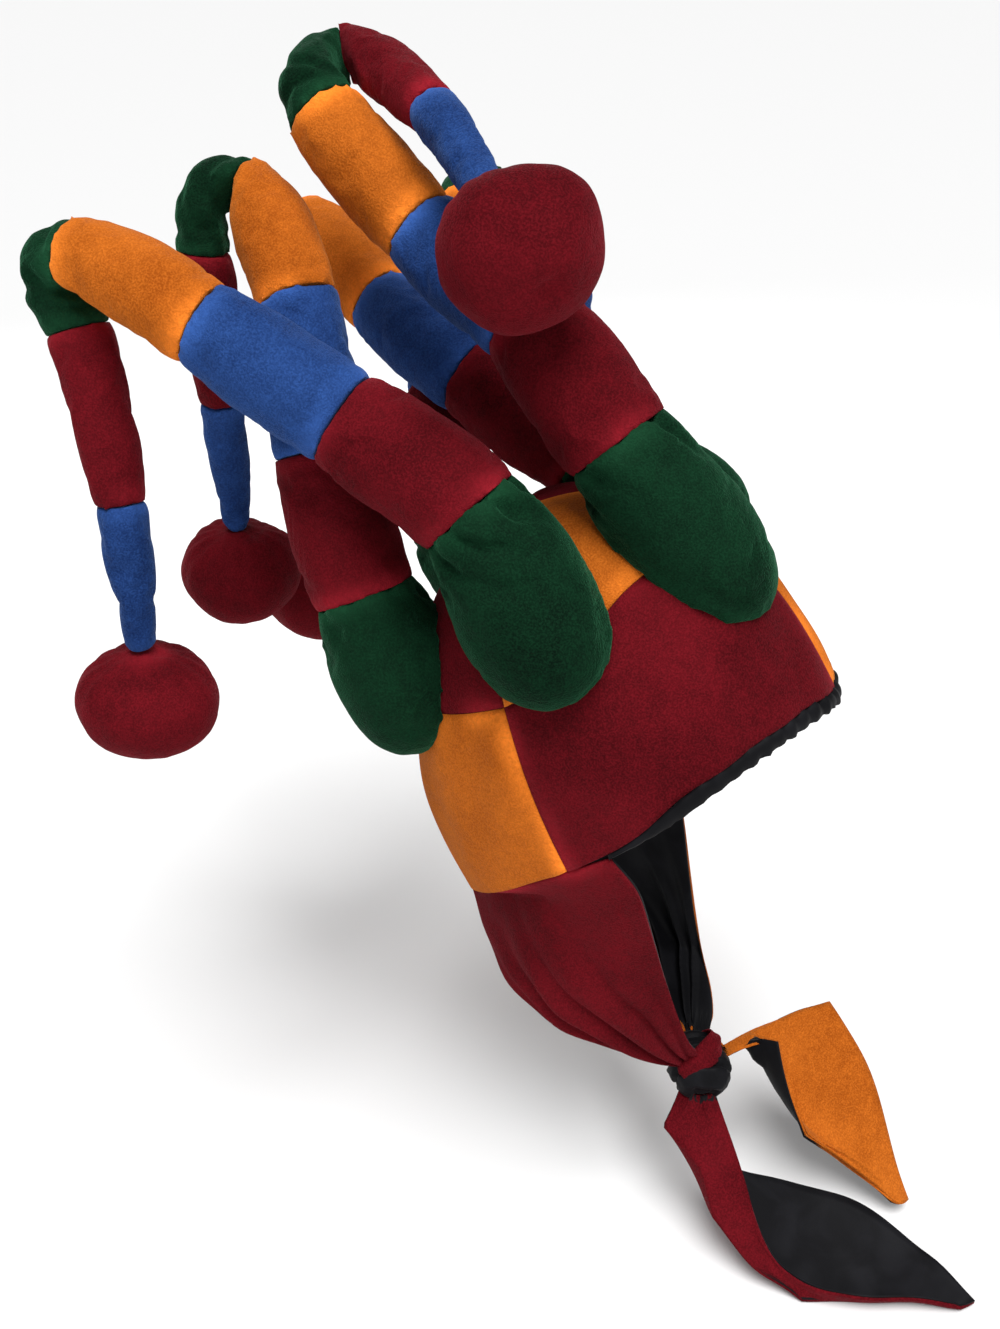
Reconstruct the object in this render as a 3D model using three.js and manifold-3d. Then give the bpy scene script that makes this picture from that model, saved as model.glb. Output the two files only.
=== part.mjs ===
// A jester hat: a leaning velvet crown with five stuffed horns, ear flaps and ties knotted under the chin.
// Millimetres, +Z up. The forehead faces -Y and the wearer's right is -X. The origin is the centre of the
// head opening. A bearing is measured round +Z from the forehead towards the wearer's right.
import * as THREE from "three";
import Module from "manifold-3d";

const wasm = await Module();
wasm.setup();

// Cloth walls and the gap kept at every seam
const VELVET = 1.5;
const LINING = 1;
const SEAM = 0.3;

// Crown: a dome whose plan is wider at the back than at the front
const CROWN = { halfWidth: 82, front: 102, back: 120, height: 150, lean: 27 };
const ROUND = { side: 2.4, front: 2.4, back: 1.8 };
const TIP_RADIUS = 1.4;
const TIER = { front: 112, back: 84, turnFrom: 105, turnOver: 55 };
const SIDE_SEAM = 107;
const HEM = { arch: 15, drop: 30, roll: 8, thin: 2.5, proud: 1.5, taper: 22 };

// Spans of a crown panel round the front and the back of the head, and how many of the front ones, from the
// forehead, carry the hem
const SPANS = { front: 9, back: 7, hemmed: 8, lower: 4, upper: 6 };

// Stuffed horn: panel lengths along the middle, and tube radii at the ends of the panels
const PANEL = {
  red: 71, blue: 71, gold: 69, foldOut: 16, foldDown: 30, lowRed: 80, lowBlue: 76,
};
const TUBE = {
  root: 34, red: 26.8, blue: 24.2, gold: 20.8, fold: 19.8, lowRed: 16.2, lowBlue: 12.6, end: 8,
};
const PUFF = 0.07;
const FOLD_LIMIT = 0.85;
const FOLD_REACH = 6;
const FOLD_TAUT = 0.25;
const BALL = { radius: 35.5, half: 29 };
const SIDES = 12;

// Knot of the ties
const KNOT = {
  length: 20, radius: 19, flat: 0.92, sides: 12,
  shape: [[-1, 0.5], [-0.7, 0.87], [-0.25, 1], [0, 0.9], [0.25, 1], [0.7, 0.87], [1, 0.5]],
};

const COLOR = {
  green: 0x14402a, red: 0x7a1420, blue: 0x27498f, orange: 0xe07a22, black: 0x16151a,
};

// Gores of the crown, with the colours changing over at every seam
const GORES = [
  { name: "front_right", from: 0, to: SIDE_SEAM, lower: "red", upper: "orange" },
  { name: "back_right", from: SIDE_SEAM, to: 180, lower: "orange", upper: "red" },
  { name: "back_left", from: 180, to: 360 - SIDE_SEAM, lower: "red", upper: "orange" },
  { name: "front_left", from: 360 - SIDE_SEAM, to: 360, lower: "orange", upper: "red" },
];

// Each horn: where the middle of its rounded root sits on the crown, its height as a share of the crown's and
// its way out as a share of the root's radius, how stout the root is, the root's length as a share of the red
// panel's, and the climb and bearing of each length of the horn in turn, in degrees
const STEPS = ["root", "red", "blue", "gold", "foldOut", "foldDown", "lowRed", "lowBlue"];
const HORNS = [
  {
    name: "right", bearing: 88, height: 0.72, out: 0, stout: 1, root: 0.89,
    climb: [59, 27, 34, 19, -13, -70, -69, -89],
    heading: [190, 194, 175, 194, 192, 12, 46, 237],
  },
  {
    name: "front", bearing: 18, height: 0.66, out: -0.24, stout: 0.94, root: 1.04,
    climb: [53, 38, 28, 42, 43, 25, -14, -24],
    heading: [170, 214, 206, 198, 226, 288, 43, 55],
  },
  {
    name: "back", bearing: 156, height: 0.61, out: 0.12, stout: 1, root: 0.72,
    climb: [62, 64, 69, 38, 2, -73, -80, -82],
    heading: [197, 218, 237, 226, 174, 118, 247, 255],
  },
  {
    name: "left", bearing: 308, height: 0.63, out: 0.24, stout: 0.94, root: 0.86,
    climb: [28, 25, 23, 28, -30, -84, -80, -87],
    heading: [175, 198, 208, 214, 206, 58, 68, 260],
  },
  {
    name: "back_left", bearing: 236, height: 0.57, out: 0, stout: 0.94, root: 0.86,
    climb: [38, 54, 39, 34, 31, -7, -16, -64],
    heading: [214, 255, 264, 262, 263, 289, 43, 275],
  },
];

// Ties: how far the knot hangs below the head opening, and how far each tail's tip lies from the knot
const TIES = { drop: 184, rightTail: 180, leftTail: 140 };

// Right flap below the crown: its front edge, its lower edge and how far the cloth stands out between. Each
// is a share of the crown's half width across, of its front reach along and of the ties' drop down
const FLAP_ROWS = [
  { front: [-0.98, -0.04, -0.12], hem: [-0.02, 0.93, -0.5], bulge: 0.12 },
  { front: [-0.9, -0.08, -0.23], hem: [-0.15, 0.86, -0.57], bulge: 0.17 },
  { front: [-0.77, -0.17, -0.45], hem: [-0.51, 0.69, -0.67], bulge: 0.15 },
  { front: [-0.62, -0.25, -0.65], hem: [-0.71, 0.37, -0.77], bulge: 0.09 },
  { front: [-0.49, -0.33, -0.83], hem: [-0.59, 0, -0.86], bulge: 0.04 },
];
const STRAP = {
  right: [[[-0.38, -0.4, -0.9], [-0.45, -0.2, -0.92]], [[-0.29, -0.41, -0.97], [-0.3, -0.33, -0.98]]],
  left: [[[0.07, -0.45, -0.9], [0.07, -0.18, -0.92]], [[-0.15, -0.42, -0.97], [-0.15, -0.34, -0.98]]],
};
const STRAP_BULGE = 1;
const TAIL_SPANS = 4;
const KNOT_AT = [-0.24, -0.38, -1];

// Tails, from the knot to the tip: one edge, the fold and the other edge, as shares of the tail's reach from
// the middle of the knot
const RIGHT_TAIL = [
  { near: [-0.02, -0.05, -0.07], fold: [-0.06, 0.01, -0.07], far: [-0.1, 0.08, -0.04] },
  { near: [-0.21, -0.14, -0.12], fold: [-0.26, -0.04, -0.12], far: [-0.17, 0.08, -0.12] },
  { near: [-0.28, -0.19, -0.21], fold: [-0.34, -0.09, -0.27], far: [-0.17, -0.03, -0.26] },
  { near: [-0.37, -0.23, -0.29], fold: [-0.41, -0.22, -0.38], far: [-0.11, -0.35, -0.33] },
  { near: [-0.44, -0.33, -0.38], fold: [-0.44, -0.37, -0.44], far: [-0.11, -0.53, -0.37] },
  { near: [-0.44, -0.52, -0.39], fold: [-0.4, -0.55, -0.44], far: [-0.19, -0.7, -0.41] },
  { near: [-0.38, -0.8, -0.41], fold: [-0.37, -0.82, -0.43], far: [-0.34, -0.86, -0.43] },
];
const LEFT_TAIL = [
  { near: [0.06, -0.06, 0], fold: [0.06, -0.06, 0.03], far: [0.07, -0.07, 0.06] },
  { near: [0.07, -0.22, 0.09], fold: [0.1, -0.15, 0.08], far: [0.19, -0.25, 0.09] },
  { near: [0.06, -0.31, 0.13], fold: [0.12, -0.2, 0.1], far: [0.34, -0.51, 0.11] },
  { near: [-0.04, -0.36, -0.01], fold: [0.03, -0.29, -0.05], far: [0.25, -0.69, -0.09] },
  { near: [-0.09, -0.45, -0.19], fold: [-0.04, -0.43, -0.22], far: [0.14, -0.77, -0.27] },
  { near: [-0.04, -0.61, -0.39], fold: [-0.05, -0.73, -0.38], far: [0.02, -0.83, -0.41] },
  { near: [-0.1, -0.82, -0.5], fold: [-0.09, -0.86, -0.51], far: [-0.04, -0.89, -0.52] },
];

// Points given as shares of the head's sizes and of a tail's reach
const headPoint = ([x, y, z]) => new THREE.Vector3(x * CROWN.halfWidth, y * CROWN.front, z * TIES.drop);
const tailPoint = (shares, reach) => headPoint(KNOT_AT).addScaledVector(new THREE.Vector3(...shares), reach);

const rad = THREE.MathUtils.degToRad;
const lerp = THREE.MathUtils.lerp;
const smooth = (t) => THREE.MathUtils.smoothstep(t, 0, 1);
const away = (bearing) => Math.abs(THREE.MathUtils.euclideanModulo(bearing + 180, 360) - 180);

// One closed solid from rings of points: sides between the rings and a fan over each end
function loft(rings) {
  const count = rings[0].length;
  const points = rings.flat();
  const faces = [];
  for (let r = 0; r + 1 < rings.length; r++) {
    for (let i = 0; i < count; i++) {
      const j = (i + 1) % count;
      const [a, b] = [r * count + i, r * count + j];
      faces.push([a, b, b + count], [a, b + count, a + count]);
    }
  }
  for (const [ring, turned] of [[0, true], [rings.length - 1, false]]) {
    const hub = points.length;
    const middle = new THREE.Vector3();
    rings[ring].forEach((p) => middle.addScaledVector(p, 1 / count));
    points.push(middle);
    for (let i = 0; i < count; i++) {
      const [a, b] = [ring * count + i, ring * count + ((i + 1) % count)];
      faces.push(turned ? [b, a, hub] : [a, b, hub]);
    }
  }
  return facing(points, faces);
}

// One closed wall from two grids of points, the outer and the inner face, joined round their edges
function wall(outer, inner) {
  const rows = outer.length;
  const across = outer[0].length;
  const points = [...outer.flat(), ...inner.flat()];
  const back = rows * across;
  const faces = [];
  const at = (r, i) => r * across + i;
  for (let r = 0; r + 1 < rows; r++) {
    for (let i = 0; i + 1 < across; i++) {
      const quad = [at(r, i), at(r, i + 1), at(r + 1, i + 1), at(r + 1, i)];
      faces.push([quad[0], quad[1], quad[2]], [quad[0], quad[2], quad[3]]);
      faces.push([quad[2] + back, quad[1] + back, quad[0] + back]);
      faces.push([quad[3] + back, quad[2] + back, quad[0] + back]);
    }
  }
  const edge = [];
  for (let i = 0; i < across; i++) edge.push(at(0, i));
  for (let r = 1; r < rows; r++) edge.push(at(r, across - 1));
  for (let i = across - 2; i >= 0; i--) edge.push(at(rows - 1, i));
  for (let r = rows - 2; r > 0; r--) edge.push(at(r, 0));
  edge.forEach((a, k) => {
    const b = edge[(k + 1) % edge.length];
    faces.push([a, a + back, b + back], [a, b + back, b]);
  });
  return facing(points, faces);
}

// Indexed geometry whose faces look outwards
function facing(points, faces) {
  let volume = 0;
  for (const [a, b, c] of faces) {
    volume += points[a].dot(new THREE.Vector3().crossVectors(points[b], points[c]));
  }
  const index = volume < 0 ? faces.map(([a, b, c]) => [a, c, b]) : faces;
  const geometry = new THREE.BufferGeometry().setFromPoints(points);
  geometry.setIndex(index.flat());
  return geometry;
}

// Solids for the cut of a horn's root by the crown
function solid(geometry) {
  return new wasm.Manifold(new wasm.Mesh({
    numProp: 3,
    vertProperties: new Float32Array(geometry.getAttribute("position").array),
    triVerts: new Uint32Array(geometry.getIndex().array),
  }));
}

function shape(made) {
  const mesh = made.getMesh();
  const geometry = new THREE.BufferGeometry();
  geometry.setAttribute("position", new THREE.BufferAttribute(new Float32Array(mesh.vertProperties), 3));
  geometry.setIndex(new THREE.BufferAttribute(new Uint32Array(mesh.triVerts), 1));
  return geometry;
}

const clearOf = (geometry, room) => shape(solid(geometry).subtract(room));

// How much of the full section is left at a height of the dome
function taper(height, round) {
  const up = THREE.MathUtils.clamp(height / CROWN.height, 0, 1);
  return (1 - up ** round) ** (1 / round);
}

// A point of the crown at a bearing and height, moved out from its outer face
function crownPoint(bearing, height, out = 0) {
  const b = rad(bearing);
  const ahead = Math.cos(b) > 0;
  const wide = (CROWN.halfWidth + out) * taper(height, ROUND.side);
  const reach = ahead ? CROWN.front : CROWN.back;
  const deep = (reach + out) * taper(height, ahead ? ROUND.front : ROUND.back);
  const rise = height > 0 ? height * (1 + out / CROWN.height) : height;
  const point = new THREE.Vector3(-wide * Math.sin(b), -deep * Math.cos(b), rise);
  return point.applyAxisAngle(new THREE.Vector3(1, 0, 0), -rad(CROWN.lean));
}

// Lower edge of the crown: arched over each temple and dropped at the nape
function hemHeight(bearing) {
  const turn = away(bearing);
  if (turn < 90) return HEM.arch * Math.sin(rad(2 * turn));
  return -HEM.drop * smooth((turn - 90) / 90);
}

// Columns of the crown: the bearings of a gore's two seams and of the spans between them
function columns(from, to) {
  const spans = away(from) > SIDE_SEAM || away(to) > SIDE_SEAM ? SPANS.back : SPANS.front;
  return Array.from({ length: spans + 1 }, (_, i) => lerp(from, to, i / spans));
}

const HEM_END = (SIDE_SEAM * SPANS.hemmed) / SPANS.front;

// Height of the rolled hem, which thins out towards the flaps
function rollHeight(bearing) {
  return lerp(HEM.thin, HEM.roll, smooth((HEM_END - away(bearing)) / HEM.taper));
}

// The front hem's roll takes the lowest of the crown in front of the flaps
function panelFoot(bearing) {
  const hemmed = away(bearing) < HEM_END + 1;
  return hemHeight(bearing) + (hemmed ? rollHeight(bearing) + SEAM : 0);
}

function tierHeight(bearing) {
  return lerp(TIER.back, TIER.front, smooth((TIER.turnFrom - away(bearing)) / TIER.turnOver));
}

// Height at which the dome has closed to the small tip radius
function tipHeight() {
  const share = TIP_RADIUS / CROWN.halfWidth;
  return CROWN.height * (1 - share ** ROUND.side) ** (1 / ROUND.side);
}

const lowerHeight = (bearing, foot, share) => lerp(foot, tierHeight(bearing), share);
const upperHeight = (bearing, foot, share) => lerp(foot, tipHeight(), Math.sin((share * Math.PI) / 2));

// Angle that half a seam gap takes at a height of the crown
function seamAngle(height) {
  return THREE.MathUtils.radToDeg(SEAM / 2 / (CROWN.halfWidth * taper(height, ROUND.side)));
}

// One crown panel between two bearings, as a wall of velvet
function crownPanel(from, to, upper) {
  const spans = upper ? SPANS.upper : SPANS.lower;
  const grid = (out) => Array.from({ length: spans + 1 }, (_, r) => columns(from, to).map((bearing) => {
    const share = r / spans;
    const gap = r === (upper ? 0 : spans) ? SEAM / 2 : 0;
    const height = upper
      ? upperHeight(bearing, tierHeight(bearing), share) + gap
      : lowerHeight(bearing, panelFoot(bearing), share) - gap;
    const trim = seamAngle(height);
    return crownPoint(THREE.MathUtils.clamp(bearing, from + trim, to - trim), height, out);
  }));
  return wall(grid(0), grid(-VELVET));
}

// Rings of the whole dome, moved out from the crown's outer face, on the same columns and rows as its panels
function domeRings(out, foot) {
  const round = GORES.flatMap((gore) => columns(gore.from, gore.to).slice(0, -1));
  const lower = Array.from({ length: SPANS.lower }, (_, r) => round.map((bearing) => {
    const start = r ? panelFoot(bearing) : foot(bearing);
    return crownPoint(bearing, lowerHeight(bearing, start, r / SPANS.lower), out);
  }));
  const upper = Array.from({ length: SPANS.upper + 1 }, (_, r) => round.map((bearing) => {
    return crownPoint(bearing, upperHeight(bearing, tierHeight(bearing), r / SPANS.upper), out);
  }));
  return [...lower, ...upper];
}

function crownLining() {
  const outer = domeRings(-VELVET - SEAM, hemHeight);
  const inner = domeRings(-VELVET - SEAM - LINING, hemHeight);
  return loft([...inner.reverse(), ...outer]);
}

// Gathered roll along the forehead edge, standing a little proud of the crown
function frontHem() {
  const span = SIDE_SEAM / SPANS.front;
  const rings = [];
  for (let k = -SPANS.hemmed; k <= SPANS.hemmed; k++) {
    const trim = Math.abs(k) === SPANS.hemmed ? Math.sign(k) * seamAngle(0) : 0;
    const [low, roll] = [hemHeight(k * span), rollHeight(k * span)];
    const section = [
      [0, 0], [HEM.proud, roll * 0.35], [HEM.proud * 0.75, roll * 0.8],
      [0, roll], [-VELVET, roll], [-VELVET, 0],
    ];
    rings.push(section.map(([out, up]) => crownPoint(k * span - trim, low + up, out)));
  }
  return loft(rings);
}

// Direction of a climb and bearing
function way(climb, heading) {
  const [c, h] = [rad(climb), rad(heading)];
  return new THREE.Vector3(-Math.sin(h) * Math.cos(c), -Math.cos(h) * Math.cos(c), Math.sin(c));
}

// Lengths of a horn from its root to its ball
const lengthsOf = (horn) => STEPS.map((step) => (step === "root" ? horn.root * PANEL.red : PANEL[step]));

// Middle line of a horn: the points at the ends of its lengths, and the smooth curve through them
function hornLine(horn) {
  const at = crownPoint(horn.bearing, horn.height * CROWN.height, horn.out * TUBE.root);
  const stops = [at.clone()];
  lengthsOf(horn).forEach((length, k) => {
    at.addScaledVector(way(horn.climb[k], horn.heading[k]), length);
    stops.push(at.clone());
  });
  return { stops, curve: new THREE.CatmullRomCurve3(stops, false, "centripetal") };
}

// Distance from a station's middle, in the given direction, to the plane of another station
function planeReach(station, other, out) {
  const reach = other.at.clone().sub(station.at).dot(other.along) / out.dot(other.along);
  return reach > 0 ? reach : Infinity;
}

// Ring of the tube at a station. Where the tube folds, the inner side stays short of the rings round it.
function tubeRing(stations, k) {
  const station = stations[k];
  const near = stations.slice(Math.max(0, k - FOLD_REACH), k + FOLD_REACH + 1)
    .filter((other) => other !== station && other.along.dot(station.along) > 0.1);
  const up = new THREE.Vector3().crossVectors(station.along, station.side);
  const [before, after] = [stations[Math.max(0, k - 2)], stations[Math.min(stations.length - 1, k + 2)]];
  const bend = after.along.clone().sub(before.along).divideScalar(after.at.distanceTo(before.at));
  return Array.from({ length: SIDES }, (_, i) => {
    const angle = (2 * Math.PI * i) / SIDES;
    const out = station.side.clone().multiplyScalar(Math.cos(angle)).addScaledVector(up, Math.sin(angle));
    const free = Math.min(...near.map((other) => planeReach(station, other, out)));
    const taut = Math.min(1, Math.max(0, -out.dot(bend)) * station.radius);
    const reach = station.radius * (1 - FOLD_TAUT * taut);
    return station.at.clone().addScaledVector(out, Math.min(reach, FOLD_LIMIT * free));
  });
}

// Panels of a horn: name, colour, first and last stop, radii at both and how many spans it has
const T = TUBE;
const HORN_PANELS = [
  { name: "root", color: "green", from: 0, to: 1, radii: [T.root, T.red], spans: 4 },
  { name: "red", color: "red", from: 1, to: 2, radii: [T.red, T.blue], spans: 3 },
  { name: "blue", color: "blue", from: 2, to: 3, radii: [T.blue, T.gold], spans: 3 },
  { name: "gold", color: "orange", from: 3, to: 4, radii: [T.gold, T.fold], spans: 3 },
  { name: "fold", color: "green", from: 4, to: 6, radii: [T.fold, T.lowRed], spans: 6 },
  { name: "low_red", color: "red", from: 6, to: 7, radii: [T.lowRed, T.lowBlue], spans: 3 },
  { name: "low_blue", color: "blue", from: 7, to: 8, radii: [T.lowBlue, T.end], spans: 3 },
];

// Stations of a whole horn: middle, direction, a sideways direction carried along without twist, and radius
function hornStations(horn, line) {
  const last = line.stops.length - 1;
  const lengths = lengthsOf(horn);
  const side = new THREE.Vector3(1, 0, 0);
  return HORN_PANELS.flatMap((panel) => {
    const start = panel.from + (panel.from ? SEAM / 2 / lengths[panel.from] : 0);
    const stop = panel.to - SEAM / 2 / lengths[panel.to - 1];
    return Array.from({ length: panel.spans + 1 }, (_, k) => {
      const share = k / panel.spans;
      const place = lerp(start, stop, share) / last;
      const along = line.curve.getTangent(place);
      side.projectOnPlane(along).normalize();
      const stout = panel.name === "root" ? lerp(horn.stout, 1, share) : 1;
      const radius = lerp(...panel.radii, share) * (1 + PUFF * Math.sin(Math.PI * share)) * stout;
      return { panel: panel.name, at: line.curve.getPoint(place), along, side: side.clone(), radius };
    });
  });
}

function hornPanel(line, stations, panel) {
  const rings = stations.map((_, k) => tubeRing(stations, k))
    .filter((_, k) => stations[k].panel === panel.name);
  if (panel.name !== "root") return loft(rings);
  return loft([...roundedStart(rings[0], line), ...rings]);
}

// Rounded lower end of a root: the first ring shrunk and moved back in steps
function roundedStart(ring, line) {
  const middle = line.stops[0];
  const along = line.curve.getTangent(0);
  return [0.3, 0.65, 0.9].map((share) => {
    const back = -TUBE.root * Math.sqrt(1 - share ** 2);
    return ring.map((p) => middle.clone().lerp(p, share).addScaledVector(along, back));
  });
}

function ball(line) {
  const along = line.curve.getTangent(1);
  const geometry = new THREE.SphereGeometry(1, 16, 9);
  geometry.scale(BALL.radius, BALL.half, BALL.radius);
  geometry.applyQuaternion(new THREE.Quaternion().setFromUnitVectors(new THREE.Vector3(0, -1, 0), along));
  const middle = line.stops.at(-1).clone().addScaledVector(along, BALL.half + SEAM);
  return geometry.translate(middle.x, middle.y, middle.z);
}

// Bearings of a flap's columns: those of the crown from the end of the hem to the nape
function flapColumns() {
  const front = columns(0, SIDE_SEAM).filter((bearing) => bearing > HEM_END - 1);
  const list = [...front, ...columns(SIDE_SEAM, 180).slice(1)];
  return list.map((bearing) => THREE.MathUtils.clamp(bearing, HEM_END + seamAngle(0), 180 - seamAngle(0)));
}

// A point of the crown's lower edge, just below the crown, on the given side of the head
function flapTop(bearing, side, out) {
  const point = crownPoint(bearing, hemHeight(bearing) - SEAM, out);
  return side === "left" ? point.setX(-point.x) : point;
}

// Points across a flap at one row, bowed out from the straight line between its two edges
function flapLine(front, hem, bulge) {
  const across = flapColumns().length;
  const out = new THREE.Vector3(front.x + hem.x, front.y + hem.y, 0).normalize();
  return Array.from({ length: across }, (_, i) => {
    const share = i / (across - 1);
    return front.clone().lerp(hem, share).addScaledVector(out, bulge * Math.sin(Math.PI * share));
  });
}

// Outer face of a flap, sewn along the crown's lower edge from the temple to the nape
function flapFace(side) {
  const rows = [flapColumns().map((bearing) => flapTop(bearing, side, 0))];
  for (const row of FLAP_ROWS) {
    const line = flapLine(headPoint(row.front), headPoint(row.hem), row.bulge * CROWN.halfWidth);
    if (side === "left") line.forEach((p) => p.setX(-p.x));
    rows.push(line);
  }
  for (const [a, b] of STRAP[side]) rows.push(flapLine(headPoint(a), headPoint(b), STRAP_BULGE));
  return rows;
}

// A flap's face moved inwards, its top row kept under the crown's own wall
function flapLayer(side, inward, depth) {
  const grid = moved(flapFace(side), inward * depth);
  return [flapColumns().map((bearing) => flapTop(bearing, side, -depth)), ...grid.slice(1)];
}

// A grid moved along its normals
function moved(grid, by) {
  return grid.map((line, r) => line.map((p, i) => {
    const down = grid[Math.min(r + 1, grid.length - 1)][i].clone().sub(grid[Math.max(r - 1, 0)][i]);
    const over = line[Math.min(i + 1, line.length - 1)].clone().sub(line[Math.max(i - 1, 0)]);
    return p.clone().addScaledVector(over.cross(down).normalize(), by);
  }));
}

// Outer face of a tail: each row is bowed from one edge through the fold to the other edge
function tailFace(table, reach) {
  return table.map((row) => {
    const across = [row.near, row.fold, row.far].map((shares) => tailPoint(shares, reach));
    return new THREE.CatmullRomCurve3(across, false, "centripetal").getPoints(TAIL_SPANS);
  });
}

// Velvet and its lining as two walls with the seam gap between them
function clothPair(layer) {
  const under = VELVET + SEAM;
  return {
    velvet: wall(layer(0), layer(VELVET)),
    lining: wall(layer(under), layer(under + LINING)),
  };
}

// Knot of the two ties, or the room that it needs, grown all round
function knot(grow) {
  const rings = KNOT.shape.map(([along, share]) => Array.from({ length: KNOT.sides }, (_, i) => {
    const angle = (2 * Math.PI * i) / KNOT.sides;
    const reach = KNOT.radius * share + grow;
    const x = along * (KNOT.length + grow);
    return new THREE.Vector3(x, Math.cos(angle) * reach, Math.sin(angle) * reach * KNOT.flat);
  }));
  const tilt = new THREE.Quaternion().setFromEuler(new THREE.Euler(0, 0.25, 0.35));
  return loft(rings).applyQuaternion(tilt).translate(...headPoint(KNOT_AT));
}

const hat = new THREE.Group();

function add(name, geometry, color) {
  const flat = geometry.index ? geometry : geometry.clone();
  const mesh = new THREE.Mesh(flat, new THREE.MeshStandardMaterial({ color: COLOR[color], roughness: 0.9 }));
  mesh.name = name;
  hat.add(mesh);
}

for (const gore of GORES) {
  add(gore.name + "_lower", crownPanel(gore.from, gore.to, false), gore.lower);
  add(gore.name + "_upper", crownPanel(gore.from, gore.to, true), gore.upper);
}
add("crown_lining", crownLining(), "black");
add("front_hem", frontHem(), "black");

const crownCore = solid(loft(domeRings(1.5 * SEAM, () => -2 * HEM.drop)));
for (const horn of HORNS) {
  const line = hornLine(horn);
  const stations = hornStations(horn, line);
  for (const panel of HORN_PANELS) {
    const geometry = hornPanel(line, stations, panel);
    const cut = panel.name === "root" ? clearOf(geometry, crownCore) : geometry;
    add(horn.name + "_horn_" + panel.name, cut, panel.color);
  }
  add(horn.name + "_horn_ball", ball(line), "red");
}

const knotRoom = solid(knot(SEAM));
for (const [side, color, inward, table, reach] of [
  ["right", "red", -1, RIGHT_TAIL, TIES.rightTail],
  ["left", "orange", 1, LEFT_TAIL, TIES.leftTail],
]) {
  const flap = clothPair((depth) => flapLayer(side, inward, depth));
  add(side + "_flap", clearOf(flap.velvet, knotRoom), color);
  add(side + "_flap_lining", clearOf(flap.lining, knotRoom), "black");
  const tail = clothPair((depth) => moved(tailFace(table, reach), inward * depth));
  add(side + "_tail", clearOf(tail.velvet, knotRoom), color);
  add(side + "_tail_lining", clearOf(tail.lining, knotRoom), "black");
}
add("tie_knot", knot(0), "black");

export default hat;
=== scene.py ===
"""Looks of a velvet jester hat: patchwork crown, five stuffed horns with balls, ear flaps, knotted ties."""

import logging
import math
from collections.abc import Callable, Sequence
from dataclasses import dataclass, field
from enum import Enum

import bmesh
import bpy
from mathutils import Matrix, Vector, noise
from mathutils.bvhtree import BVHTree


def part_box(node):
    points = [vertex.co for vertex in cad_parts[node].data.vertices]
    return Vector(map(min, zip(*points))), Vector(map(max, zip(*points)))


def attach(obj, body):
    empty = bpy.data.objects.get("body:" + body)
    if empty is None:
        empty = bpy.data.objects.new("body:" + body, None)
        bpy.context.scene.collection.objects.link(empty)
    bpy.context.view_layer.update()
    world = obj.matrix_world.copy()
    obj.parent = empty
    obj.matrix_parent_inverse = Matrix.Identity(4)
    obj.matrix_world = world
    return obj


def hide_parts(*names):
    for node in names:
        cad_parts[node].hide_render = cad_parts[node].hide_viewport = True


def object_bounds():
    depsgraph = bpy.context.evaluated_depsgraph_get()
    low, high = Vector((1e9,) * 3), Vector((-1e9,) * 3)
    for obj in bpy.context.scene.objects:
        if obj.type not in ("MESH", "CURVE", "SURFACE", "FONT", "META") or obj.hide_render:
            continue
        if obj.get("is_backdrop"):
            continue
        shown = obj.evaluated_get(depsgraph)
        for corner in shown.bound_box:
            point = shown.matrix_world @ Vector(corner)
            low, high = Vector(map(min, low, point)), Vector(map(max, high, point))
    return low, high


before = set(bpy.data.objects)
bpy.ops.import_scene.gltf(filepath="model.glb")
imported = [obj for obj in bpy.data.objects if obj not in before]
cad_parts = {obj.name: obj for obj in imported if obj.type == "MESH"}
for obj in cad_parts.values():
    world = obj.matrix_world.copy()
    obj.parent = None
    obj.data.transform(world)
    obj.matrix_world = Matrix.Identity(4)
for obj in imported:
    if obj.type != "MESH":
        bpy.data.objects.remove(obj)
log = logging.getLogger("jester_hat")
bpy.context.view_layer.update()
MM = 0.001
BODY = "root"
# Painted sheen: a point attribute that lightens the velvet in patches beside the seams, a painted highlight
# standing in for the pile's sheen.
PAINTED_SHEEN = "painted_sheen"
PAINTED_SHEEN_PATCH = 30 * MM
PAINTED_SHEEN_WIDTH = 7 * MM
MERGE_GAP = 0.01 * MM
JOIN_ANGLE = math.radians(50)
SHARP_ANGLE = math.radians(52)
HALF_TURN = math.radians(180)
FRAMES = 20


class Slot(Enum):
    """Material slots of the hat."""

    RED = "red_velvet"
    ORANGE = "orange_velvet"
    BLUE = "blue_velvet"
    GREEN = "green_velvet"
    BLACK = "black_lining"


# shader maths


class Value:
    """A shader socket that can be used in sums."""

    def __init__(self, graph: "Graph", socket: bpy.types.NodeSocket) -> None:
        """Wraps a socket of a graph."""
        self.graph = graph
        self.socket = socket

    def _math(self, operation: str, first: "Value | float", second: "Value | float") -> "Value":
        """One Math node."""
        return self.graph.node("ShaderNodeMath", {"operation": operation}, {0: first, 1: second})

    def __add__(self, other: "Value | float") -> "Value":
        """Sum."""
        return self._math("ADD", self, other)

    def __radd__(self, other: float) -> "Value":
        """Sum with a number first."""
        return self._math("ADD", other, self)

    def __sub__(self, other: "Value | float") -> "Value":
        """Difference."""
        return self._math("SUBTRACT", self, other)

    def __rsub__(self, other: float) -> "Value":
        """Difference with a number first."""
        return self._math("SUBTRACT", other, self)

    def __mul__(self, other: "Value | float") -> "Value":
        """Product."""
        return self._math("MULTIPLY", self, other)

    def __rmul__(self, other: float) -> "Value":
        """Product with a number first."""
        return self._math("MULTIPLY", other, self)


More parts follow.
